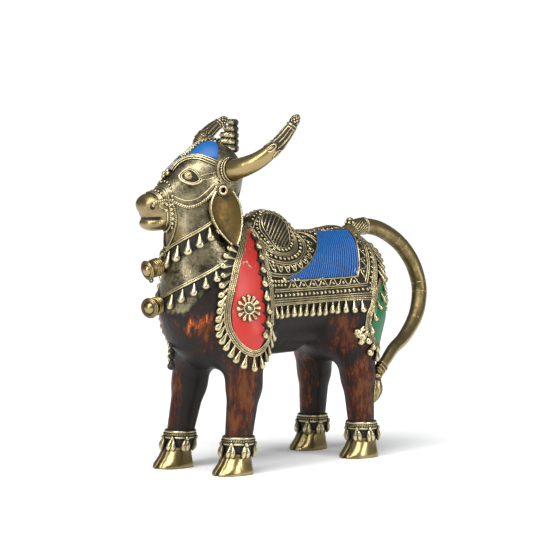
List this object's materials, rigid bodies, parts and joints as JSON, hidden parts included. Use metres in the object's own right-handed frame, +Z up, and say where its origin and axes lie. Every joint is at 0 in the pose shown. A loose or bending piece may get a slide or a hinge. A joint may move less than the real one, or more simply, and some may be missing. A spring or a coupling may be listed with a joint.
{
  "type": "nandi bull figure",
  "caption": "Standing cast brass bull with turned head, up-curved horns, hump, looped tail, bells and raised harness, saddle cloth and leaf-shaped side panels.",
  "frame": {"origin": "centre of the bounding box in plan, at the ground under the hooves", "axes": "+X to the bull's left flank, -Y the way it stands facing (its head turns 17.5 degrees toward -X), +Z up"},
  "size_m": [0.1174, 0.2838, 0.2615],
  "materials": {
    "cast_brass": "lost-wax cast brass, worn bright on high relief, dark patina in the hollows",
    "aged_silver_brass": "silvered antique patina on head and neck, burnished on the high places",
    "brown_patina": "brown-black patina on body and legs, with coppery rubbed streaks",
    "red_enamel": "opaque red paint in a shallow field, slightly worn",
    "blue_enamel": "opaque blue paint over combed lines, slightly worn",
    "green_enamel": "opaque green paint in a shallow field, slightly worn"
  },
  "bodies": {
    "root": {"nandi_bull": "cast_brass"}
  },
  "joints": []
}
